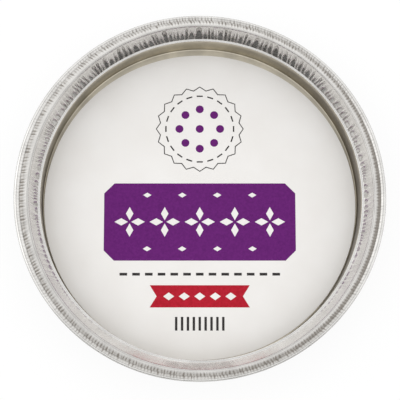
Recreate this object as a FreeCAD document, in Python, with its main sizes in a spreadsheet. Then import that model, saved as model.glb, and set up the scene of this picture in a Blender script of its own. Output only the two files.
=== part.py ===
import FreeCAD, Part
import math
import os
import Sketcher
from FreeCAD import Vector

# A round flan case pressed from one sheet of aluminium foil, with a printed card lying on its floor.
# The origin is at the centre of the underside of the floor, +Z is up, and +Y is the top of the print.
doc = FreeCAD.newDocument("flan_case")
sheet = doc.addObject("Spreadsheet::Sheet", "Sizes")

# Driving dimensions, in millimetres and degrees
SIZES = [
    ("foil_thickness", 0.1, "gauge of the pressed sheet"),
    ("rim_diameter", 215, "outside of the rolled curl"),
    ("case_height", 24, "underside of the floor to the top of the bead"),
    ("floor_diameter", 187.4, "inside, where floor and lower wall would meet"),
    ("floor_corner", 1, "inside radius between floor and lower wall"),
    ("corner_flats", 2, "short flats that make up the rounded corner's section"),
    ("ledge_height", 14.8, "underside of the floor to the top of the ledge"),
    ("ledge_diameter", 188.6, "inner edge of the ledge"),
    ("ledge_width", 1.2, "flat of the ledge, middle of the pleats"),
    ("mouth_diameter", 201.3, "inner edge of the bead"),
    ("bead_width", 1.1, "flat top of the bead"),
    ("crimp_drop", 0.45, "middle of the crimped band below the bead"),
    ("crimp_depth", 0.22, "each crimp, up and down from the middle"),
    ("groove_drop", 0.85, "groove beside the curl below the bead"),
    ("groove_width", 0.4, "flat bottom of the groove"),
    ("curl_radius", 1.55, "outside of the curl's section"),
    ("curl_drop", 0.05, "top of the curl below the bead"),
    ("curl_turn", 45, "angle between the short flats of the curl's section"),
    ("curl_under", 2, "flats from the curl's widest point round to its tail"),
    ("pleat_count", 132, "pleats of the upper wall, and crimps of the band"),
    ("pleat_depth", 0.45, "pleats at the ledge, in and out from the middle"),
    ("pleat_unevenness", 0.4, "share by which one pleat differs from the next"),
    ("card_clearance", 0.25, "card's edge to the start of the floor corner, where it lies nearest"),
    ("card_shift", 1.4, "card's middle from the case's axis, towards the bottom of the print"),
    ("card_thickness", 0.4, "label card"),
    ("ink_thickness", 0.05, "fields of print on the card"),
    ("panel_width", 112, "purple panel"),
    ("panel_height", 46, "purple panel"),
    ("panel_corner", 6, "purple panel's cut corners"),
    ("panel_centre", -10, "purple panel's middle, from the card's centre"),
    ("rosette_count", 5, "rosettes left white in the panel"),
    ("rosette_pitch", 20.5, "rosette to rosette"),
    ("petal_count", 4, "petals of a rosette"),
    ("petal_length", 8, "petal of a rosette, end to end"),
    ("petal_width", 4.4, "petal of a rosette, across"),
    ("petal_reach", 4.9, "rosette's centre to a petal's middle"),
    ("accent_length", 5, "small white lozenge between rosettes, end to end"),
    ("accent_height", 3, "small white lozenge between rosettes, across"),
    ("accent_row", 16, "each row of small lozenges from the panel's middle"),
    ("ribbon_width", 58, "red ribbon from end to end"),
    ("ribbon_height", 13, "red ribbon"),
    ("ribbon_notch", 4, "cut into each end of the ribbon"),
    ("ribbon_centre", -54, "red ribbon's middle, from the card's centre"),
    ("stud_count", 5, "lozenges left white in the ribbon"),
    ("stud_length", 6.4, "white lozenge of the ribbon, end to end"),
    ("stud_height", 4.6, "white lozenge of the ribbon, across"),
    ("stud_pitch", 9, "lozenge to lozenge in the ribbon"),
    ("tart_centre", 46, "drawn tart's middle, from the card's centre"),
    ("tart_radius", 26, "tips of the tart's flutes"),
    ("flute_depth", 2.2, "flutes, tip to valley"),
    ("flute_count", 20, "flutes round the tart"),
    ("line_width", 0.6, "drawn line of the flutes"),
    ("crust_radius", 20, "tart's middle to the dashed line inside its crust"),
    ("crust_dash", 3.6, "dash of the crust, end to end"),
    ("crust_line", 0.8, "dash of the crust, across"),
    ("berry_radius", 2.4, "purple berry on the tart"),
    ("berry_ring", 12, "tart's middle to the middle of a berry"),
    ("berry_count", 8, "berries round the middle one"),
    ("berry_sides", 12, "sides that make up a berry's round edge"),
    ("dash_count", 13, "dashes of the rule under the panel"),
    ("dash_length", 4.4, "dash"),
    ("dash_height", 1.6, "dash"),
    ("dash_pitch", 7.4, "dash to dash"),
    ("dash_centre", -41, "rule's middle, from the card's centre"),
    ("stripe_count", 9, "stripes under the ribbon"),
    ("stripe_width", 1.4, "stripe"),
    ("stripe_height", 8, "stripe"),
    ("stripe_pitch", 3.4, "stripe to stripe"),
    ("stripe_centre", -70, "stripes' middle, from the card's centre"),
]
for row, (alias, value, note) in enumerate(SIZES, start=1):
    sheet.set(f"A{row}", note)
    sheet.set(f"B{row}", str(value))
    sheet.setAlias(f"B{row}", alias)
doc.recompute()


def size(alias):
    return float(getattr(sheet, alias))


def count(alias):
    return int(round(size(alias)))


# Foil case: the section of the sheet's inner face, as radius and height, with its outer face one
# thickness behind it. Floor, lower wall and curl are turned, the rest is folded between flat rings.
foil = size("foil_thickness")
bead_top = size("case_height")
rim_radius = size("rim_diameter") / 2
floor_radius = size("floor_diameter") / 2
ledge_radius = size("ledge_diameter") / 2
ledge_top = size("ledge_height")
foot_radius = ledge_radius + size("ledge_width")
mouth_radius = size("mouth_diameter") / 2
bead_radius = mouth_radius + size("bead_width")
groove_top = bead_top - size("groove_drop")
curl_radius = size("curl_radius")
curl_centre = (rim_radius - curl_radius, bead_top - size("curl_drop") - curl_radius)


def curl_start(radius, height):
    """Radius at which the curl of this section radius leaves the flat groove at this height."""
    return curl_centre[0] - math.sqrt(radius**2 - (height - curl_centre[1]) ** 2)


groove_radius = curl_start(curl_radius, groove_top) - size("groove_width")
crimp_radius = (bead_radius + groove_radius) / 2
crimp_top = bead_top - size("crimp_drop")

lean = math.atan2(ledge_radius - floor_radius, ledge_top - foil)
pleat_lean = math.atan2(mouth_radius - foot_radius, bead_top - ledge_top)
crimp_slope = math.atan2(bead_top - crimp_top, crimp_radius - bead_radius)
groove_slope = math.atan2(crimp_top - groove_top, groove_radius - crimp_radius)


def behind(point, angle_before, angle_after):
    """The outer face's corner behind a corner of the inner face. Angles are from level, upwards."""
    before = (math.sin(angle_before), -math.cos(angle_before))
    after = (math.sin(angle_after), -math.cos(angle_after))
    scale = foil / (1 + before[0] * after[0] + before[1] * after[1])
    return (point[0] + scale * (before[0] + after[0]), point[1] + scale * (before[1] + after[1]))


wall_angle = math.pi / 2 - lean
pleat_angle = math.pi / 2 - pleat_lean
inner = {
    "floor": (floor_radius, foil),
    "ledge": (ledge_radius, ledge_top),
    "foot": (foot_radius, ledge_top),
    "mouth": (mouth_radius, bead_top),
    "bead": (bead_radius, bead_top),
    "crimp": (crimp_radius, crimp_top),
    "groove": (groove_radius, groove_top),
}
outer = {
    "floor": behind(inner["floor"], 0, wall_angle),
    "ledge": behind(inner["ledge"], wall_angle, 0),
    "foot": behind(inner["foot"], 0, pleat_angle),
    "mouth": behind(inner["mouth"], pleat_angle, 0),
    "bead": behind(inner["bead"], 0, -crimp_slope),
    "crimp": behind(inner["crimp"], -crimp_slope, -groove_slope),
    "groove": behind(inner["groove"], -groove_slope, 0),
}
stations = 2 * count("pleat_count")

# Two turns, in radians from one pleat edge to the next, whose waves make the depths uneven
fold_step = 2.4
fold_drift = 0.37


def point_at(radius, angle, height):
    return Vector(radius * math.cos(angle), radius * math.sin(angle), height)


def pleat_share(k):
    """How far pleat edge k stands in or out: turn by turn, with an uneven depth."""
    turn = 1 if k % 2 == 0 else -1
    wave = math.sin(fold_step * k) * math.cos(fold_drift * k)
    return turn * (1 + size("pleat_unevenness") * wave)


def pleat_ring(corner, radial=0.0, vertical=0.0):
    """Two corners for each pleat, once round the case, standing in and out or up and down."""
    ring = []
    for k in range(stations):
        share = pleat_share(k)
        angle = 2 * math.pi * k / stations
        ring.append(point_at(corner[0] + radial * share, angle, corner[1] + vertical * share))
    return ring


def plain_ring(corner):
    """One corner for each pleat, once round the case, all on one circle."""
    return [point_at(corner[0], 2 * math.pi * k / stations, corner[1]) for k in range(0, stations, 2)]


def facet(*corners):
    return Part.Face(Part.makePolygon([*corners, corners[0]]))


def folded_band(pleated, plain):
    """Flat three-cornered facets from a ring with two corners a pleat to a ring with one."""
    facets = []
    for j, peak in enumerate(plain):
        n = (j + 1) % len(plain)
        facets.append(facet(pleated[2 * j - 1], pleated[2 * j], peak))
        facets.append(facet(pleated[2 * j], pleated[2 * j + 1], peak))
        facets.append(facet(peak, pleated[2 * j + 1], plain[n]))
    return facets


def ring_wire(points):
    return Part.makePolygon([*points, points[0]])


def circle_wire(corner):
    return Part.Wire(Part.makeCircle(corner[0], Vector(0, 0, corner[1])))


def flat_ring(outside, inside):
    """Level face between two closed wires."""
    return Part.makeFace([outside, inside], "Part::FaceMakerBullseye")


def turned(points):
    """Faces that a run of straight lines sweeps round the case's axis."""
    corners = [Vector(radius, 0, height) for radius, height in points]
    return Part.makePolygon(corners).revolve(Vector(0, 0, 0), Vector(0, 0, 1), 360).Faces


def dish_section(corners, corner_radius):
    """Floor, eased corner and lower wall of one face of the sheet, from the axis outwards."""
    radius, height = corners["floor"]
    start = radius - corner_radius * math.tan(wall_angle / 2)
    flats = count("corner_flats")
    section = [(0, height)]
    for i in range(flats + 1):
        turn = wall_angle * i / flats
        rise = corner_radius * (1 - math.cos(turn))
        section.append((start + corner_radius * math.sin(turn), height + rise))
    return [*section, corners["ledge"]]


def curl_section(radius, height):
    """The curl, from where it leaves the groove, over the top and round to its tail, in flats."""
    start = math.pi - math.asin((height - curl_centre[1]) / radius)
    turn = math.radians(size("curl_turn"))
    over = int(start / turn - 0.5)
    angles = [start] + [turn * i for i in range(over, -count("curl_under") - 1, -1)]
    return [(curl_centre[0] + radius * math.cos(a), curl_centre[1] + radius * math.sin(a)) for a in angles]


def skin(corners, corner_radius, arc_radius):
    """One whole face of the sheet, from the middle of the floor to the curl's tail."""
    foot = pleat_ring(corners["foot"], radial=size("pleat_depth"))
    mouth = plain_ring(corners["mouth"])
    bead = plain_ring(corners["bead"])
    crimp = pleat_ring(corners["crimp"], vertical=size("crimp_depth"))
    groove = plain_ring(corners["groove"])
    curl = curl_section(arc_radius, corners["groove"][1])
    faces = turned(dish_section(corners, corner_radius)) + turned(curl)
    faces += folded_band(foot, mouth) + folded_band(crimp, bead) + folded_band(crimp, groove)
    faces.append(flat_ring(ring_wire(foot), circle_wire(corners["ledge"])))
    faces.append(flat_ring(ring_wire(bead), ring_wire(mouth)))
    faces.append(flat_ring(circle_wire(curl[0]), ring_wire(groove)))
    return faces, curl[-1]


def foil_case_solid():
    inner_faces, inner_tail = skin(inner, size("floor_corner"), curl_radius)
    outer_faces, outer_tail = skin(outer, size("floor_corner") + foil, curl_radius - foil)
    tail = turned([inner_tail, outer_tail])
    shell = Part.makeCompound(inner_faces + outer_faces + tail)
    shell.sewShape(1e-5)
    solid = Part.makeSolid(shell.Shells[0])
    if solid.Volume < 0:
        solid.reverse()
    return solid


foil_case = doc.addObject("Part::Feature", "foil_case")
foil_case.Label = "foil_case"
foil_case.Shape = foil_case_solid()
foil_case.Placement = FreeCAD.Placement()


# Flat pieces that lie on the floor of the case: plates made from sketches, one body for each piece,
# all of them as far off the case's axis as the card
def flat_body(name, bottom):
    body = doc.addObject("PartDesign::Body", name)
    body.Label = name
    body.AllowCompound = True
    body.setExpression("Placement.Base.y", "-Sizes.card_shift")
    body.setExpression("Placement.Base.z", bottom)
    return body


def flat_sketch(body, name, x="0", y="0"):
    """A sketch on the body's XY plane, with its own origin at a place given by formulas."""
    sketch = body.newObject("Sketcher::SketchObject", name)
    plane = [f for f in body.Origin.OriginFeatures if f.Role == "XY_Plane"][0]
    sketch.AttachmentSupport = [(plane, "")]
    sketch.MapMode = "FlatFace"
    sketch.setExpression("AttachmentOffset.Base.x", x)
    sketch.setExpression("AttachmentOffset.Base.y", y)
    return sketch


def value_of(formula):
    """Present value of a formula of the sheet, for a sketch's first guess."""
    return float(sheet.evalExpression(formula.replace("Sizes.", "")))


def draw_circle(sketch, radius):
    """A circle on the sketch's own origin."""
    sketch.addGeometry(Part.Circle(Vector(0, 0, 0), Vector(0, 0, 1), value_of(radius)))
    centred = Sketcher.Constraint("Coincident", 0, 3, -1, 1)
    sketch.addConstraint([centred, Sketcher.Constraint("Radius", 0, value_of(radius))])
    sketch.setExpression("Constraints[1]", radius)


def draw_outline(sketch, corners):
    """Straight sides round corners that are each tied to a pair of formulas of the sheet."""
    places = [Vector(value_of(x), value_of(y), 0) for x, y in corners]
    around = range(len(corners))
    after = [(i + 1) % len(corners) for i in around]
    sketch.addGeometry([Part.LineSegment(places[i], places[after[i]]) for i in around])
    ties = [Sketcher.Constraint("Coincident", i, 2, after[i], 1) for i in around]
    for i in around:
        ties.append(Sketcher.Constraint("DistanceX", -1, 1, i, 1, places[i].x))
        ties.append(Sketcher.Constraint("DistanceY", -1, 1, i, 1, places[i].y))
    sketch.addConstraint(ties)
    for i, (x, y) in enumerate(corners):
        sketch.setExpression(f"Constraints[{len(corners) + 2 * i}]", x)
        sketch.setExpression(f"Constraints[{len(corners) + 2 * i + 1}]", y)


def draw_round(sketch, x, radius, sides):
    """A round of many short sides, its middle on the sketch's own X axis."""
    turns = [f"(360 deg * {i} / {sides})" for i in range(sides)]
    draw_outline(sketch, [(f"{x} + {radius} * cos{turn}", f"{radius} * sin{turn}") for turn in turns])


def draw_block(sketch, length, height):
    left, right, low, high = f"-{length} / 2", f"{length} / 2", f"-{height} / 2", f"{height} / 2"
    draw_outline(sketch, [(left, low), (right, low), (right, high), (left, high)])


def draw_lozenge(sketch, length, height, reach="0"):
    left, right = f"{reach} - {length} / 2", f"{reach} + {length} / 2"
    draw_outline(sketch, [(left, "0"), (reach, f"-{height} / 2"), (right, "0"), (reach, f"{height} / 2")])


def finished(body, feature):
    body.Tip = feature
    doc.recompute()
    return feature


def pad(body, sketch, thickness):
    feature = body.newObject("PartDesign::Pad", sketch.Name + "_pad")
    feature.Profile = sketch
    feature.setExpression("Length", thickness)
    return finished(body, feature)


def pocket(body, sketch):
    """A gap right through the plate."""
    feature = body.newObject("PartDesign::Pocket", sketch.Name + "_pocket")
    feature.Profile = sketch
    feature.Type = "ThroughAll"
    feature.Midplane = True
    return finished(body, feature)


def repeat_in_row(body, feature, number, pitch):
    """Copies along the X axis of the feature's sketch, which stands at the row's left end."""
    pattern = body.newObject("PartDesign::LinearPattern", feature.Name + "_row")
    pattern.Originals = [feature]
    pattern.Direction = (feature.Profile[0], ["H_Axis"])
    pattern.setExpression("Occurrences", number)
    pattern.setExpression("Length", f"({number} - 1) * {pitch}")
    return finished(body, pattern)


def repeat_round(body, feature, number):
    """Copies once round the origin of the feature's sketch."""
    pattern = body.newObject("PartDesign::PolarPattern", feature.Name + "_round")
    pattern.Originals = [feature]
    pattern.Axis = (feature.Profile[0], ["N_Axis"])
    pattern.Angle = 360
    pattern.setExpression("Occurrences", number)
    return finished(body, pattern)


def row_start(number, pitch):
    return f"-({number} - 1) * {pitch} / 2"


# Label card: a plain round of white board, loose on the floor. It has slid a little to the near side,
# where it lies just clear of the rounded corner.
label_card = flat_body("label_card", "Sizes.foil_thickness")
card_outline = flat_sketch(label_card, "card_outline")
wall_run = "(Sizes.ledge_diameter - Sizes.floor_diameter) / 2"
wall_rise = "(Sizes.ledge_height - Sizes.foil_thickness)"
wall_lean = f"atan({wall_run} / {wall_rise})"
corner_setback = f"Sizes.floor_corner * tan((90 deg - {wall_lean}) / 2)"
floor_flat = f"Sizes.floor_diameter / 2 - {corner_setback}"
draw_circle(card_outline, f"{floor_flat} - Sizes.card_clearance - Sizes.card_shift")
pad(label_card, card_outline, "Sizes.card_thickness")

# Purple ink: a panel with rosettes and small lozenges left white, and the berries of the drawn tart
print_bottom = "Sizes.foil_thickness + Sizes.card_thickness"
INK = "Sizes.ink_thickness"
print_purple = flat_body("print_purple", print_bottom)
panel = flat_sketch(print_purple, "panel", y="Sizes.panel_centre")
draw_block(panel, "Sizes.panel_width", "Sizes.panel_height")
panel_plate = pad(print_purple, panel, INK)
upright = [
    f"Edge{i}"
    for i, edge in enumerate(panel_plate.Shape.Edges, start=1)
    if abs(edge.Vertexes[0].Point.z - edge.Vertexes[-1].Point.z) > size("ink_thickness") / 2
]
cut_corners = print_purple.newObject("PartDesign::Chamfer", "cut_corners")
cut_corners.Base = (panel_plate, upright)
cut_corners.setExpression("Size", "Sizes.panel_corner")
finished(print_purple, cut_corners)
for i in range(count("rosette_count")):
    place = f"({i} - (Sizes.rosette_count - 1) / 2) * Sizes.rosette_pitch"
    petal = flat_sketch(print_purple, f"petal_{i + 1}", place, "Sizes.panel_centre")
    draw_lozenge(petal, "Sizes.petal_length", "Sizes.petal_width", "Sizes.petal_reach")
    repeat_round(print_purple, pocket(print_purple, petal), "Sizes.petal_count")
for name, side in (("accent_low", "-"), ("accent_high", "+")):
    start = row_start("(Sizes.rosette_count - 1)", "Sizes.rosette_pitch")
    accent = flat_sketch(print_purple, name, start, f"Sizes.panel_centre {side} Sizes.accent_row")
    draw_lozenge(accent, "Sizes.accent_length", "Sizes.accent_height")
    accents = pocket(print_purple, accent)
    repeat_in_row(print_purple, accents, "(Sizes.rosette_count - 1)", "Sizes.rosette_pitch")
middle_berry = flat_sketch(print_purple, "middle_berry", y="Sizes.tart_centre")
draw_round(middle_berry, "0", "Sizes.berry_radius", count("berry_sides"))
pad(print_purple, middle_berry, INK)
berry = flat_sketch(print_purple, "berry", y="Sizes.tart_centre")
draw_round(berry, "Sizes.berry_ring", "Sizes.berry_radius", count("berry_sides"))
repeat_round(print_purple, pad(print_purple, berry, INK), "Sizes.berry_count")

# Red ink: a ribbon with notched ends and a row of lozenges left white
print_red = flat_body("print_red", print_bottom)
ribbon = flat_sketch(print_red, "ribbon", y="Sizes.ribbon_centre")
draw_block(ribbon, "Sizes.ribbon_width", "Sizes.ribbon_height")
pad(print_red, ribbon, INK)
for name, side in (("notch_left", "-"), ("notch_right", "")):
    notch = flat_sketch(print_red, name, f"{side}Sizes.ribbon_width / 2", "Sizes.ribbon_centre")
    draw_lozenge(notch, "2 * Sizes.ribbon_notch", "Sizes.ribbon_height")
    pocket(print_red, notch)
stud_start = row_start("Sizes.stud_count", "Sizes.stud_pitch")
stud = flat_sketch(print_red, "stud", stud_start, "Sizes.ribbon_centre")
draw_lozenge(stud, "Sizes.stud_length", "Sizes.stud_height")
repeat_in_row(print_red, pocket(print_red, stud), "Sizes.stud_count", "Sizes.stud_pitch")

# Dark ink: the drawn tart's fluted edge and dashed crust, a dashed rule and a row of stripes
print_dark = flat_body("print_dark", print_bottom)
flute = flat_sketch(print_dark, "flute", y="Sizes.tart_centre")
half_flute = "(180 deg / Sizes.flute_count)"
valley = "(Sizes.tart_radius - Sizes.flute_depth)"
flute_corners = []
for inset, ends in (("0", ("-1", "0", "1")), ("Sizes.line_width", ("1", "0", "-1"))):
    for end in ends:
        reach = "Sizes.tart_radius" if end == "0" else valley
        turn = f"({end} * {half_flute})"
        flute_corners.append((f"({reach} - {inset}) * cos{turn}", f"({reach} - {inset}) * sin{turn}"))
draw_outline(flute, flute_corners)
repeat_round(print_dark, pad(print_dark, flute, INK), "Sizes.flute_count")
crust = flat_sketch(print_dark, "crust", y="Sizes.tart_centre")
near, far = "Sizes.crust_radius - Sizes.crust_line / 2", "Sizes.crust_radius + Sizes.crust_line / 2"
low, high = "-Sizes.crust_dash / 2", "Sizes.crust_dash / 2"
draw_outline(crust, [(near, low), (far, low), (far, high), (near, high)])
repeat_round(print_dark, pad(print_dark, crust, INK), "Sizes.flute_count")
for name in ("dash", "stripe"):
    number, pitch = f"Sizes.{name}_count", f"Sizes.{name}_pitch"
    mark = flat_sketch(print_dark, name, row_start(number, pitch), f"Sizes.{name}_centre")
    across = "Sizes.dash_length" if name == "dash" else "Sizes.stripe_width"
    draw_block(mark, across, f"Sizes.{name}_height")
    repeat_in_row(print_dark, pad(print_dark, mark, INK), number, pitch)

# Every object has to be sound before any file is written
doc.recompute()
for item in doc.Objects:
    if "Invalid" in item.State or "Error" in item.State:
        raise RuntimeError(f"{item.Label} failed to build")
pieces = [foil_case, label_card, print_purple, print_red, print_dark]
for piece in pieces:
    if piece.Shape.isNull() or not piece.Shape.isValid():
        raise RuntimeError(f"{piece.Label} has no sound shape")

os.makedirs("parts", exist_ok=True)
for piece in pieces:
    piece.Shape.exportStep(f"parts/{piece.Label}.step")
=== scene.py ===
import math
import random

import bmesh
import bpy
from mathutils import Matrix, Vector


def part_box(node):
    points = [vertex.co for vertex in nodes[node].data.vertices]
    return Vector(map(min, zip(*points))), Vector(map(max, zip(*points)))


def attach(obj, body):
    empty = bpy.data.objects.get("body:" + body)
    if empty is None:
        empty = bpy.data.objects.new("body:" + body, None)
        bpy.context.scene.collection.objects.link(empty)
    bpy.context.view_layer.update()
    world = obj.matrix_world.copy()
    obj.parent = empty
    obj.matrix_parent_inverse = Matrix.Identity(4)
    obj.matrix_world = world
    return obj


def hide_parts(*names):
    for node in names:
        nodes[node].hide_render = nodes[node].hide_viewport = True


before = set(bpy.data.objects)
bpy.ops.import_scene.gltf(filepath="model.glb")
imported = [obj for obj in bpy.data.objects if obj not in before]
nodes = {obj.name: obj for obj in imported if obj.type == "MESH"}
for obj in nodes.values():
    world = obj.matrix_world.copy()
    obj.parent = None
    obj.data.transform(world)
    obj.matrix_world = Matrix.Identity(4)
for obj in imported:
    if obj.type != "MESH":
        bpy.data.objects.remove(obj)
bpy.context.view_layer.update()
scene = bpy.context.scene
scene.view_settings.view_transform = "Standard"

# Foil case
# One round blank of bright aluminium foil, pressed in a single stroke. The spare foil of the wall and
# the rim gathers into uneven V folds above the ledge and into small crimps beside the rolled edge.
MM = 0.001
foil = 0.1 * MM
case_low, case_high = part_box("foil_case")
rim_radius = case_high.x
bead_top = case_high.z

# Floor, lower wall and ledge, on the upper face of the sheet
floor_rings = (50 * MM, 84 * MM)
floor_radius = 93.7 * MM
floor_corner = 0.8 * MM
ledge_radius = 94.3 * MM
ledge_top = 14.8 * MM
ledge_edge = 0.25 * MM
ledge_fall = 0.03 * MM

# Pleated wall, from its foot on the ledge to the round bead at the mouth
foot_radius = 95.5 * MM
foot_bend = 0.12 * MM
mouth_radius = 100.65 * MM
bead_radius = 0.75 * MM
bead_end_turn = 50
bead_centre = (101.2 * MM, bead_top - bead_radius)

# Crimped rim, its groove and the edge rolled into a curl
crimp_radius = 103.2 * MM
crimp_top = bead_top - 0.5 * MM
groove_radius = 104.25 * MM
groove_top = bead_top - 0.95 * MM
curl_radius = 1.5 * MM
curl_inset = 0.12 * MM
curl_drop = 0.15 * MM
curl_turns = (150, -150)
curl_centre = (rim_radius - curl_radius - curl_inset, bead_top - curl_radius - curl_drop)

# Folds and crimps: gaps are counted in columns of the mesh, and kinks in shares of the wall's height
pleats = 132
columns = 8 * pleats
ridge_gaps = (3, 4, 4, 5, 6, 7)
ridge_kink = 0.05
ridge_proud = 0.25 * MM
ridge_lean = 1.3
valley_turn = 45
valley_kinks = (0.34, 0.555)
valley_roundness = 3
near_depth = 0.06
deep_crimps = (-1.4, -0.2)
shallow_crimps = (-0.3, 0.9)
crimp_spacing = 3
crimp_depth = 0.24 * MM
crimp_fullness = 0.7
crimp_sway = 0.7
side_reach = 0.35

# Painted shade in the foil's colour, from 0 for bright to 1 for the darkest: in the valleys of the
# folds, in the crimps, over the bead and curl, and on the floor's edge and lower wall, where it is
# darkest at the sides and most at the right, away from the lamp, and stands in for dark reflections
ring_painted_shade = 0.85
ring_sharpness = 4
wall_painted_shade = 0.35
side_painted_shade = 0.4
right_painted_shade = 0.25
side_spread = 1.5
fold_painted_shade = 0.9
bead_painted_shade = 0.35
crimp_painted_shade = 0.6
mark_painted_shade = 0.7
right_crimp_painted_shade = 0.35
far_crimp_painted_light = 0.2
curl_painted_shade = 0.12

# The case is slightly out of round: narrower from left to right, with its ledge and bead to the right
oval_floor = 1.6 * MM
oval_ledge = 1.2 * MM
oval_bead = 1.8 * MM
oval_rim = 0.5 * MM
off_middle = 0.7 * MM
rim_wave = 0.1 * MM
rim_ripples = ((0.6, 3, 0.7), (0.4, 7, 2.1))


def arc(centre, radius, start, end, steps):
    """Points along an arc of the section, from one angle in degrees to another."""
    turns = [math.radians(start + (end - start) * i / steps) for i in range(steps + 1)]
    return [(centre[0] + radius * math.cos(a), centre[1] + radius * math.sin(a)) for a in turns]


def straight(start, end, steps):
    """Points along a straight line of the section, without its own ends."""
    shares = [i / steps for i in range(1, steps)]
    return [(start[0] + (end[0] - start[0]) * s, start[1] + (end[1] - start[1]) * s) for s in shares]


wall_turn = math.degrees(math.atan2(ledge_top - foil, ledge_radius - floor_radius))
pleat_turn = math.degrees(math.atan2(bead_top - ledge_top, mouth_radius - foot_radius))
corner_start = floor_radius - floor_corner * math.tan(math.radians(wall_turn / 2))
ledge_edge_centre = (ledge_radius + ledge_edge, ledge_top - ledge_edge)
foot = (foot_radius, ledge_top - ledge_fall)
above_foot = (foot_radius + foot_bend / 2, foot[1] + foot_bend)
crimp_crest = (crimp_radius, crimp_top)
groove = (groove_radius, groove_top)

floor_corner_arc = arc((corner_start, foil + floor_corner), floor_corner, -90, wall_turn - 90, 4)
ledge_edge_arc = arc(ledge_edge_centre, ledge_edge, wall_turn + 90, 90, 3)
wall_line = straight(floor_corner_arc[-1], ledge_edge_arc[0], 3)
bead_arc = arc(bead_centre, bead_radius, pleat_turn + 90, bead_end_turn, 5)
pleat_line = [foot, above_foot] + straight(above_foot, bead_arc[0], 10)
crimp_line = straight(bead_arc[-1], crimp_crest, 2) + [crimp_crest] + straight(crimp_crest, groove, 2)
curl_arc = arc(curl_centre, curl_radius, *curl_turns, 9)

# The rows of the section, from the middle of the floor to the end of the curl. The crimps run out on
# the curl, a few rows past the groove.
crimped_curl_rows = 3
section = [(0, foil)] + [(radius, foil) for radius in floor_rings]
first_drawn = len(section) - 1
section += floor_corner_arc
last_corner = len(section) - 1
section += wall_line
last_drawn = len(section)
section += ledge_edge_arc + [(foot_radius - foot_bend, ledge_top - ledge_fall)]
first_fold = len(section)
section += pleat_line
bead_row = len(section)
section += bead_arc
first_crimp = len(section)
section += crimp_line
groove_row = len(section)
section += [groove] + curl_arc
last_crimp = groove_row + crimped_curl_rows

oval_rows = (last_corner, last_drawn, first_fold, bead_row + 2, groove_row + 1)
ovals = (oval_floor, oval_ledge, oval_ledge, oval_bead, oval_rim)
shifts = (0, off_middle, off_middle, off_middle, 0)


def at_row(row, values):
    """Value at a row of the section, from values at the floor, ledge, foot, bead and curl."""
    if row <= oval_rows[0]:
        return values[0]
    for start, end, low, high in zip(oval_rows, oval_rows[1:], values, values[1:]):
        if row <= end:
            return low + (high - low) * (row - start) / (end - start)
    return values[-1]


chance = random.Random(24)


def even_chances(count):
    """Random values between -1 and 1 that stand evenly round the rim."""
    return [chance.uniform(-1, 1) for k in range(count)]


def crimp_marks(first):
    """A height for each column, deep in every third column and shallow between."""
    marks = [deep_crimps if k % crimp_spacing == first else shallow_crimps for k in range(columns)]
    return [chance.uniform(*mark) for mark in marks]


def between(values, column):
    """Value at a column of the mesh, from values that stand evenly round the rim."""
    spacing = columns // len(values)
    k, part = divmod(column, spacing)
    return values[k] + (values[(k + 1) % len(values)] - values[k]) * part / spacing


ridges = [0]
while ridges[-1] < columns - 2 * max(ridge_gaps):
    ridges.append(ridges[-1] + chance.choice(ridge_gaps))
ridges += [(ridges[-1] + columns) // 2, columns]
leans = even_chances(pleats // 2)
crimps_in = crimp_marks(0)
crimps_out = crimp_marks(1)
crimp_sways_in = even_chances(2 * pleats)
crimp_sways_out = even_chances(2 * pleats)

# A valley runs out flatter than the wall from the ledge up to a height of its own, and steeper above
# it. Valleys are deep on the far side of the case, and shallow on the near side.
kinks = [ridge_kink] * (columns + 1)
for start, end in zip(ridges, ridges[1:]):
    nearness = (1 - math.sin(2 * math.pi * start / columns)) / 2
    highest = chance.uniform(*valley_kinks) * (1 - nearness + near_depth * nearness)
    for column in range(start + 1, end):
        share = 1 - abs(2 * (column - start) / (end - start) - 1) ** valley_roundness
        kinks[column] = ridge_kink + (highest - ridge_kink) * share
wall_rise = bead_arc[0][1] - foot[1]
flatter = wall_rise / math.tan(math.radians(valley_turn)) - (bead_arc[0][0] - foot[0])


def stand_out(column, climb):
    """How far the pleated wall stands out behind the straight line from its foot to the bead."""
    kink = kinks[column]
    proud = ridge_proud * (1 - climb) * min(1, climb / ridge_kink) if kink == ridge_kink else 0
    return flatter * min(climb, kink * (1 - climb) / (1 - kink)) - proud


press = bmesh.new()
row_of = press.verts.layers.int.new("row")
painted_shade_of = press.verts.layers.float.new("painted_shade")
line = [press.verts.new((radius, 0, height)) for radius, height in section]
for row, vert in enumerate(line):
    vert[row_of] = row
edges = [press.edges.new(pair) for pair in zip(line, line[1:])]
bmesh.ops.spin(
    press,
    geom=line + edges,
    cent=(0, 0, 0),
    axis=(0, 0, 1),
    angle=2 * math.pi,
    steps=columns,
    use_merge=True,
)
bmesh.ops.remove_doubles(press, verts=press.verts, dist=foil / 100)
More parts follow.
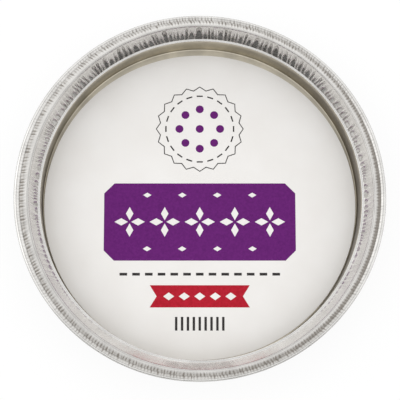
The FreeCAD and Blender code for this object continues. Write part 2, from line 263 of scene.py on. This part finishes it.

# Each point of the plain dish moves to its place in the folds, crimps and slightly oval rim, and takes
# its painted shade. Across the crimped band, the inner marks give way to the outer ones over its middle
# third, and the painted shade comes in over the first quarter and goes out over the last third.
for vert in press.verts:
    row = vert[row_of]
    radius = math.hypot(vert.co.x, vert.co.y)
    angle = math.atan2(vert.co.y, vert.co.x) % (2 * math.pi)
    height = vert.co.z
    column = round(angle / (2 * math.pi) * columns) % columns
    to_right = math.cos(angle)
    to_back = math.sin(angle)
    # Painted shade on the floor's edge at the left and right, and on the lower wall all round, darkest
    # at the sides and most at the right, away from the lamp
    if first_drawn < row < last_corner:
        vert[painted_shade_of] = ring_painted_shade * to_right ** ring_sharpness
    if last_corner <= row < last_drawn:
        sideways = min(1, side_spread * abs(to_right))
        vert[painted_shade_of] = wall_painted_shade + side_painted_shade * sideways + right_painted_shade * max(0, to_right)
    if first_fold <= row < first_crimp:
        climb = min(1, (height - foot[1]) / wall_rise)
        radius += stand_out(column, climb)
        angle += between(leans, column) * ridge_lean * math.pi / pleats * (1 - climb)
        # Painted shade in the valleys of the folds, fading out up the wall
        vert[painted_shade_of] = fold_painted_shade * (kinks[column] - ridge_kink) / valley_kinks[1] * (1 - climb)
    # Painted shade dims the bead's highlight
    if bead_row <= row < first_crimp:
        vert[painted_shade_of] = bead_painted_shade
    if first_crimp <= row <= last_crimp:
        share = (row - first_crimp + 1) / (last_crimp - first_crimp + 2)
        reach = max(side_reach, abs(to_back)) if row > groove_row else 1
        strength = reach * math.sin(math.pi * share) ** crimp_fullness
        outer = min(1, max(0, 3 * share - 1))
        crimp = crimps_in[column] * (1 - outer) + crimps_out[column] * outer
        height += crimp_depth * crimp * strength
        # Painted shade in the crimps, deepest in the deep marks, more at the right and less on the far
        # side
        painted_darkening = crimp_painted_shade + right_crimp_painted_shade * max(0, to_right) + mark_painted_shade * max(0, -crimp)
        painted_darkening -= far_crimp_painted_light * max(0, to_back)
        vert[painted_shade_of] = reach * painted_darkening * min(1, 4 * share, 3 * (1 - share))
        sway = between(crimp_sways_in, column) * (1 - share) + between(crimp_sways_out, column) * share
        angle += sway * crimp_sway * math.pi / (2 * pleats) * strength
    # A little painted shade over the curl
    if row >= groove_row:
        vert[painted_shade_of] = max(vert[painted_shade_of], curl_painted_shade)
    loose = max(0, (height - ledge_top) / (bead_top - ledge_top))
    ripple = sum(size * math.sin(count * angle + start) for size, count, start in rim_ripples)
    radius += rim_wave * loose * ripple
    radius -= at_row(row, ovals) * math.cos(angle) ** 2 * min(1, radius / floor_radius)
    aside = at_row(row, shifts)
    vert.co = Vector((radius * math.cos(angle) + aside, radius * math.sin(angle), min(height, bead_top)))

# The edge of the floor and the lower wall take a darker, warmer copy of the foil: painted shade with a
# painted warm reflection
for face in press.faces:
    face.smooth = True
    rows = [vert[row_of] for vert in face.verts]
    if first_drawn <= min(rows) and max(rows) <= last_drawn:
        face.material_index = 1
bmesh.ops.recalc_face_normals(press, faces=press.faces)
case_mesh = bpy.data.meshes.new("foil_case_pressed")
press.to_mesh(case_mesh)
press.free()
pressed_case = bpy.data.objects.new("pressed_foil_case", case_mesh)
scene.collection.objects.link(pressed_case)
gauge = pressed_case.modifiers.new("gauge", "SOLIDIFY")
gauge.thickness = foil
gauge.offset = -1
gauge.material_offset = 2


def new_material(name):
    """An empty node material with its shader, as (material, node tree, shader)."""
    material = bpy.data.materials.new(name)
    material.use_nodes = True
    tree = material.node_tree
    return material, tree, tree.nodes["Principled BSDF"]


def add(tree, kind, **inputs):
    """A node of this kind, with input values by socket name (underscores for spaces)."""
    node = tree.nodes.new("ShaderNode" + kind)
    for name, value in inputs.items():
        node.inputs[name.replace("_", " ")].default_value = value
    return node


def object_noise(tree, scale, detail, roughness=0.5, stretch=(1, 1, 1)):
    """Noise over the piece's own coordinates, stretched along its axes."""
    place = add(tree, "TexCoord")
    mapping = add(tree, "Mapping", Scale=stretch)
    noise = add(tree, "TexNoise", Scale=scale, Detail=detail, Roughness=roughness)
    tree.links.new(place.outputs["Object"], mapping.inputs["Vector"])
    tree.links.new(mapping.outputs["Vector"], noise.inputs["Vector"])
    return noise.outputs["Fac"]


def ramp(tree, source, low, high, stops):
    """A colour ramp from two or more (place, colour) stops, over this range of the source."""
    spread = add(tree, "MapRange", From_Min=low, From_Max=high)
    tree.links.new(source, spread.inputs["Value"])
    colours = add(tree, "ValToRGB")
    band = colours.color_ramp
    for element, (place, colour) in zip(band.elements, (stops[0], stops[-1])):
        element.position = place
        element.color = (*colour, 1)
    for place, colour in stops[1:-1]:
        band.elements.new(place).color = (*colour, 1)
    tree.links.new(spread.outputs["Result"], colours.inputs["Fac"])
    return colours.outputs["Color"]


def spread_value(tree, source, low, high, to_low, to_high):
    """A value that follows the source, from one range to another."""
    spread = add(tree, "MapRange", From_Min=low, From_Max=high, To_Min=to_low, To_Max=to_high)
    tree.links.new(source, spread.inputs["Value"])
    return spread.outputs["Result"]


def multiplied(tree, first, second):
    """One colour darkened by another."""
    both = add(tree, "Mix")
    both.data_type = "RGBA"
    both.blend_type = "MULTIPLY"
    both.inputs["Factor"].default_value = 1
    colour_a, colour_b = [socket for socket in both.inputs if socket.type == "RGBA"]
    tree.links.new(first, colour_a)
    tree.links.new(second, colour_b)
    return [socket for socket in both.outputs if socket.type == "RGBA"][0]


def bump(tree, height, distance, strength=1.0, below=None):
    """A bump of this height in metres, on top of an earlier bump if there is one."""
    node = add(tree, "Bump", Strength=strength, Distance=distance)
    tree.links.new(height, node.inputs["Height"])
    if below is not None:
        tree.links.new(below, node.inputs["Normal"])
    return node.outputs["Normal"]


# The colour that the darkest painted shade multiplies into the foil
painted_shade_tint = (0.28, 0.26, 0.24)
rolling_lines = (40, 900, 40)
roll_height = 0.004 * MM
crease_height = 0.01 * MM
middle_noise = (0.3, 0.7)


def foil_finish(name, dark, light, smooth, rough):
    """Rolled foil between two shades and two roughnesses, with fine rolling lines and soft creases,
    darkened by the painted shade that the mesh carries.
    """
    material, tree, shader = new_material(name)
    shader.inputs["Metallic"].default_value = 1
    cloudy = object_noise(tree, scale=90, detail=3)
    grain = object_noise(tree, scale=3, detail=4, roughness=0.65, stretch=rolling_lines)
    creases = object_noise(tree, scale=420, detail=2)
    tint = ramp(tree, cloudy, 0.35, 0.65, [(0, dark), (1, light)])
    # Painted shade, read from the mesh, darkens the foil's colour towards the painted shade tint
    painted_shade_node = add(tree, "Attribute")
    painted_shade_node.attribute_name = "painted_shade"
    painted_darkening = ramp(tree, painted_shade_node.outputs["Fac"], 0, 1, [(0, (1, 1, 1)), (1, painted_shade_tint)])
    tree.links.new(multiplied(tree, tint, painted_darkening), shader.inputs["Base Color"])
    tree.links.new(spread_value(tree, grain, *middle_noise, smooth, rough), shader.inputs["Roughness"])
    rolled = bump(tree, grain, roll_height, 0.6)
    tree.links.new(bump(tree, creases, crease_height, 0.6, rolled), shader.inputs["Normal"])
    return material


bright_foil = foil_finish("bright_foil", (0.72, 0.71, 0.69), (0.81, 0.8, 0.78), 0.2, 0.32)
# A darker, warmer copy of the foil for the floor's edge and lower wall: painted shade and a painted warm
# reflection
painted_shade_foil = foil_finish("painted_shade_foil", (0.53, 0.49, 0.405), (0.66, 0.61, 0.5), 0.28, 0.4)

# The bright foil and its painted-shade copy for the inner face, and the same two places for the outer
# face, which is bright all over
for finish in (bright_foil, painted_shade_foil, bright_foil, bright_foil):
    case_mesh.materials.append(finish)
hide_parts("foil_case")
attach(pressed_case, "root")

# Label card
# A round of white board, coated on its upper side for the print, punched out and laid loose on the
# floor of the case. Faint clouds and a fine fibre show in the coating.
board_dull = (0.775, 0.755, 0.73)
board_clear = (0.81, 0.795, 0.775)
fibre_height = 0.01 * MM


def give(node, material):
    """The CAD node keeps its shape and takes this material."""
    mesh = nodes[node].data
    mesh.materials.clear()
    mesh.materials.append(material)


coated_board, tree, shader = new_material("coated_board")
shader.inputs["Roughness"].default_value = 0.5
shader.inputs["Specular IOR Level"].default_value = 0.35
cloudy = object_noise(tree, scale=35, detail=3)
fibre = object_noise(tree, scale=1600, detail=4, roughness=0.6)
tint = ramp(tree, cloudy, *middle_noise, [(0, board_dull), (1, board_clear)])
tree.links.new(tint, shader.inputs["Base Color"])
tree.links.new(bump(tree, fibre, fibre_height, 0.5), shader.inputs["Normal"])
give("label_card", coated_board)

# Print on the card
# Three flat inks laid on the board: purple for the panel and the berries, red for the ribbon, and a
# dark one for the fine lines and bars. Each is given as its thin and its full colour.
ink_height = 0.004 * MM
inks = {
    "print_purple": ("purple_ink", (0.102, 0.010, 0.128), (0.135, 0.015, 0.165)),
    "print_red": ("red_ink", (0.35, 0.008, 0.019), (0.47, 0.013, 0.032)),
    "print_dark": ("dark_ink", (0.022, 0.02, 0.02), (0.05, 0.045, 0.045)),
}
for node, (name, thin, full) in inks.items():
    ink, tree, shader = new_material(name)
    shader.inputs["Roughness"].default_value = 0.6
    shader.inputs["Specular IOR Level"].default_value = 0.1
    mottle = object_noise(tree, scale=700, detail=4, roughness=0.6)
    tint = ramp(tree, mottle, *middle_noise, [(0, thin), (1, full)])
    tree.links.new(tint, shader.inputs["Base Color"])
    tree.links.new(bump(tree, mottle, ink_height, 0.4), shader.inputs["Normal"])
    give(node, ink)

# Table
# A plain white table under the case. Seen straight or mirrored in the foil it is mostly plain white,
# and the rest of its colour comes from the light, which keeps the shadow of the case.
table_reach = 3
table_drop = 0.05 * MM
table_white = 0.95
plain_share = 0.9
table_mesh = bpy.data.meshes.new("table")
top = bmesh.new()
bmesh.ops.create_grid(top, x_segments=1, y_segments=1, size=table_reach)
bmesh.ops.translate(top, verts=top.verts, vec=(0, 0, case_low.z - table_drop))
top.to_mesh(table_mesh)
top.free()
table = bpy.data.objects.new("table", table_mesh)
scene.collection.objects.link(table)
white_table, tree, shader = new_material("white_table")
shader.inputs["Base Color"].default_value = (table_white, table_white, table_white, 1)
shader.inputs["Roughness"].default_value = 0.7
seen = add(tree, "LightPath")
glow = add(tree, "Emission", Color=(1, 1, 1, 1), Strength=1)
either = add(tree, "Math")
either.operation = "MAXIMUM"
share = add(tree, "Math")
share.operation = "MULTIPLY"
share.inputs[1].default_value = plain_share
blend = add(tree, "MixShader")
tree.links.new(seen.outputs["Is Camera Ray"], either.inputs[0])
tree.links.new(seen.outputs["Is Glossy Ray"], either.inputs[1])
tree.links.new(either.outputs["Value"], share.inputs[0])
tree.links.new(share.outputs["Value"], blend.inputs["Fac"])
tree.links.new(shader.outputs["BSDF"], blend.inputs[1])
tree.links.new(glow.outputs["Emission"], blend.inputs[2])
tree.links.new(blend.outputs["Shader"], tree.nodes["Material Output"].inputs["Surface"])
table_mesh.materials.append(white_table)

# Light
# One soft panel at the left, and the light of a pale room. The room is dark low down in front, and
# the folds of the far wall mirror that. The camera itself sees the room as plain white.
panel_place = (-1.0, 0.2, 0.6)
panel_target = (0, 0, 0.01)
panel_size = 0.9
panel_power = 1.2
room_light = 2.0


def aim(item, place, target):
    """Stands a lamp or camera at a place, looking at the target, level across."""
    item.location = place
    item.rotation_euler = (Vector(target) - Vector(place)).to_track_quat("-Z", "Y").to_euler()


lamp = bpy.data.lights.new("left_panel", "AREA")
lamp.shape = "RECTANGLE"
lamp.size = panel_size
lamp.size_y = panel_size
lamp.energy = panel_power
panel = bpy.data.objects.new("left_panel", lamp)
scene.collection.objects.link(panel)
aim(panel, panel_place, panel_target)

room = bpy.data.worlds.new("room")
scene.world = room
room.use_nodes = True
tree = room.node_tree
way = add(tree, "TexCoord")


def facing(direction, low, high, greys):
    """A grey that follows how far a ray turns towards this direction."""
    turned = add(tree, "VectorMath")
    turned.operation = "DOT_PRODUCT"
    turned.inputs[1].default_value = direction
    tree.links.new(way.outputs["Generated"], turned.inputs[0])
    return ramp(tree, turned.outputs["Value"], low, high, [(place, (g, g, g)) for place, g in greys])


def combined(operation, first, second):
    """Two greys put together by this operation."""
    node = add(tree, "VectorMath")
    node.operation = operation
    tree.links.new(first, node.inputs[0])
    tree.links.new(second, node.inputs[1])
    return node.outputs["Vector"]


# A ray turns towards a direction by 0 when it runs across it, and by 1 when it runs straight along it
pale_walls = facing((0, 0, 1), 0, 1, [(0, 0.45), (0.3, 0.55), (0.6, 0.68), (0.85, 0.62), (1, 0.35)])
in_front = facing((0, -1, 0), 0.3, 0.65, [(0, 0), (1, 1)])
low_down = facing((0, 0, 1), 0.3, 0.55, [(0, 0.97), (1, 0)])
dark = combined("MULTIPLY", in_front, low_down)
walls = combined("SUBTRACT", pale_walls, combined("MULTIPLY", pale_walls, dark))
mirrored = tree.nodes["Background"]
mirrored.inputs["Strength"].default_value = room_light
tree.links.new(walls, mirrored.inputs["Color"])
plain_white = add(tree, "Background", Color=(1, 1, 1, 1), Strength=1)
seen = add(tree, "LightPath")
blend = add(tree, "MixShader")
tree.links.new(seen.outputs["Is Camera Ray"], blend.inputs["Fac"])
tree.links.new(mirrored.outputs["Background"], blend.inputs[1])
tree.links.new(plain_white.outputs["Background"], blend.inputs[2])
tree.links.new(blend.outputs["Shader"], tree.nodes["World Output"].inputs["Surface"])

# Camera
# It looks down on the case from almost overhead and a little in front, one metre from the rim. The
# picture's middle lies a few pixels nearer the bottom of the photo than the middle of the rim.
look_down = math.radians(78)
distance = 1000 * MM
pixels_per_mm = 1.746
picture_width = 400
aim_low_pixels = 5.7
aim_right_pixels = 0.25
sensor_width = 36
rim_middle = Vector((0, 0, bead_top))
towards_camera = Vector((0, -math.cos(look_down), math.sin(look_down)))
camera_up = Vector((0, math.sin(look_down), math.cos(look_down)))
aim_low = aim_low_pixels / pixels_per_mm * MM
aim_right = aim_right_pixels / pixels_per_mm * MM
target = rim_middle - aim_low * camera_up + Vector((aim_right, 0, 0))
lens = bpy.data.cameras.new("camera")
lens.sensor_width = sensor_width
lens.lens = sensor_width * pixels_per_mm * distance / MM / picture_width
camera = bpy.data.objects.new("camera", lens)
scene.collection.objects.link(camera)
aim(camera, target + towards_camera * distance, target)
scene.camera = camera
